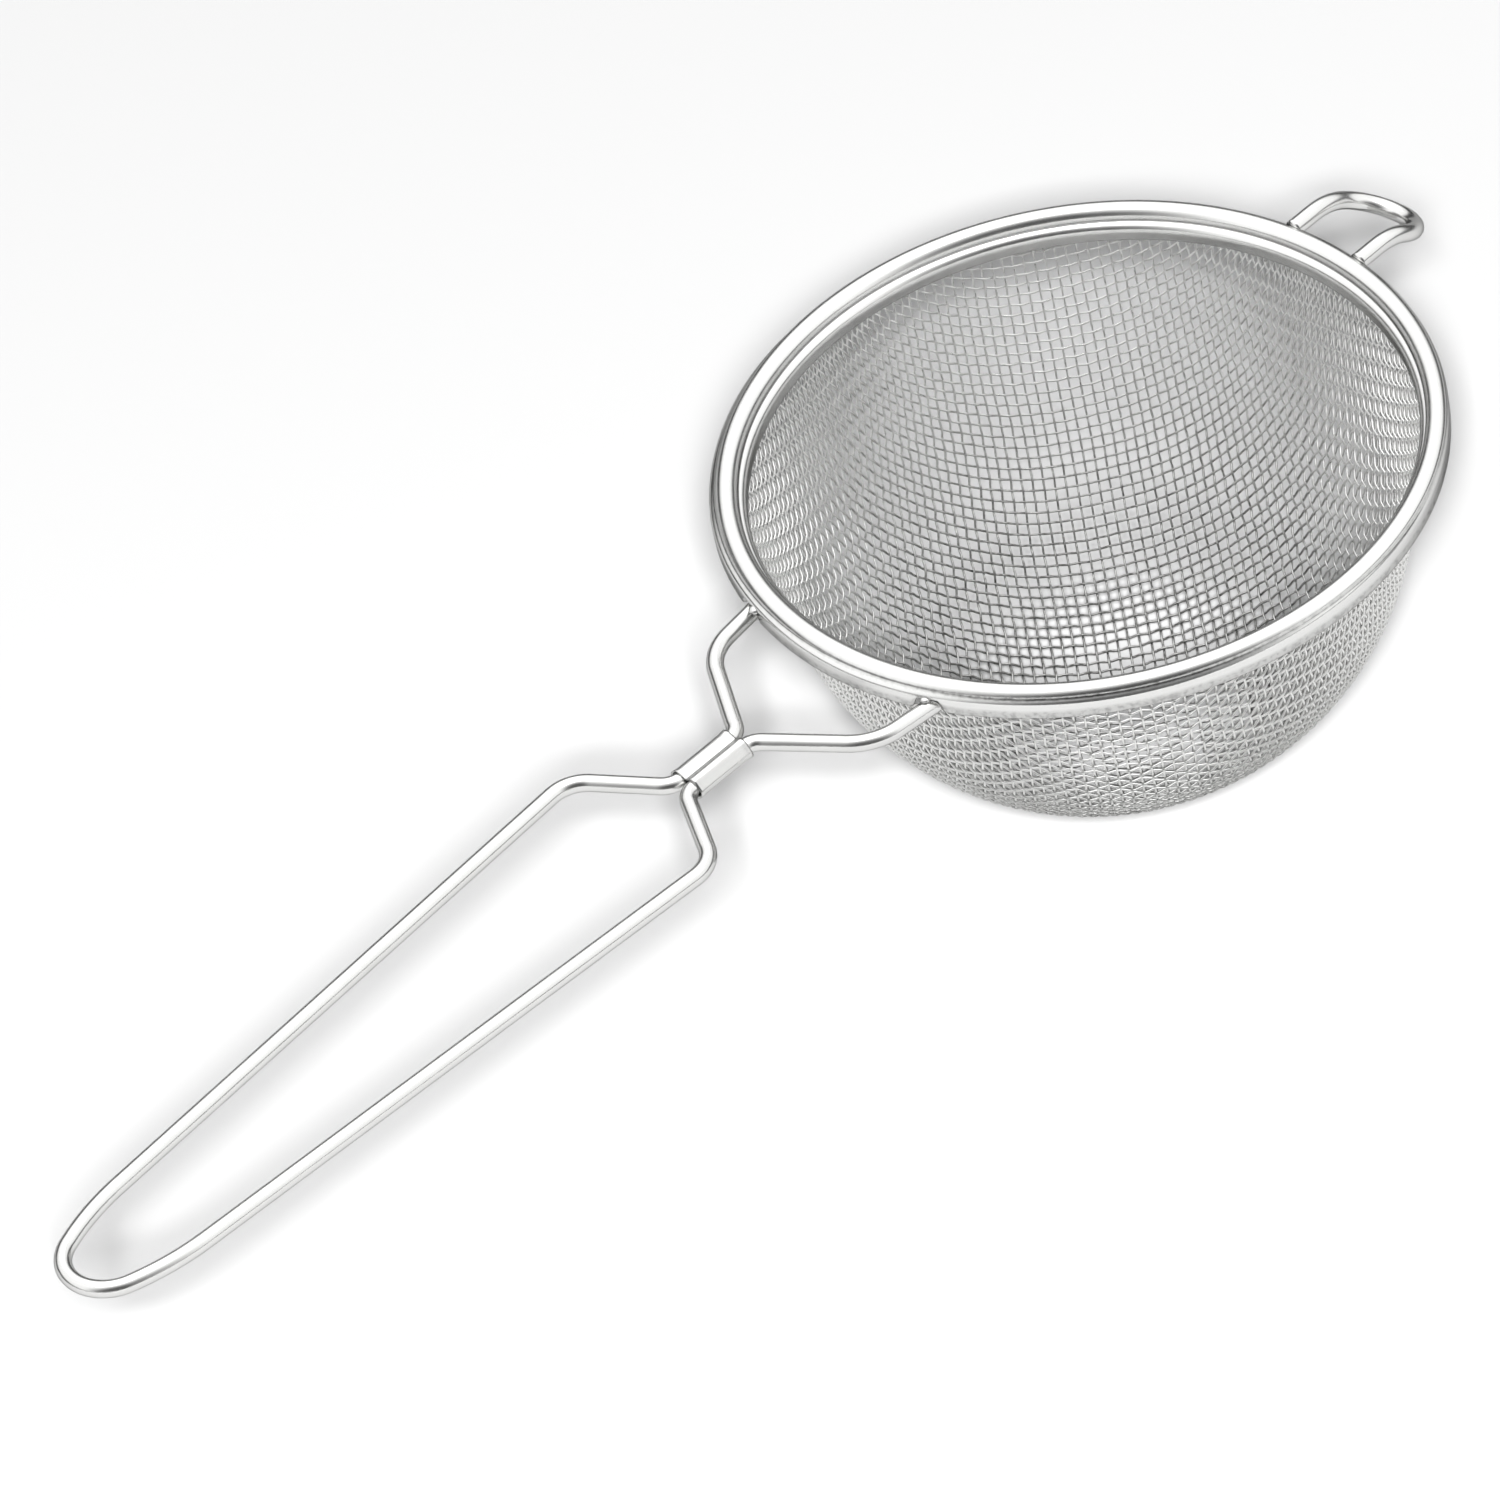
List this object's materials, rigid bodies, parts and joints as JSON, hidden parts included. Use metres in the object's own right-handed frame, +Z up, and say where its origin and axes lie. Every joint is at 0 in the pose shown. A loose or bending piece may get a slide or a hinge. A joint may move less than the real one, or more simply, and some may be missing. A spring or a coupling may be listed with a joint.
{
  "type": "tea strainer",
  "caption": "Tea strainer with a round woven wire mesh bowl in a rolled steel rim, a long bent-wire loop handle and a small wire hook that rests on the cup.",
  "frame": {"origin": "centre of the bowl's flat bottom", "axes": "+Z up through the open rim, which is level; the handle runs along -Y and the cup hook along +Y"},
  "size_m": [0.0794, 0.2021, 0.0415],
  "materials": {
    "woven_mesh": "bright woven stainless wire",
    "band_steel": "polished, with fine rolling marks",
    "ring_steel": "drawn wire",
    "wire_steel": "polished drawn wire",
    "ferrule_steel": "satin sheet"
  },
  "bodies": {
    "root": {"mesh_bowl": "woven_mesh", "rim_band": "band_steel", "rim_wire": "ring_steel", "handle_wire": "wire_steel", "ferrule": "ferrule_steel", "rest_hook": "wire_steel"}
  },
  "joints": []
}
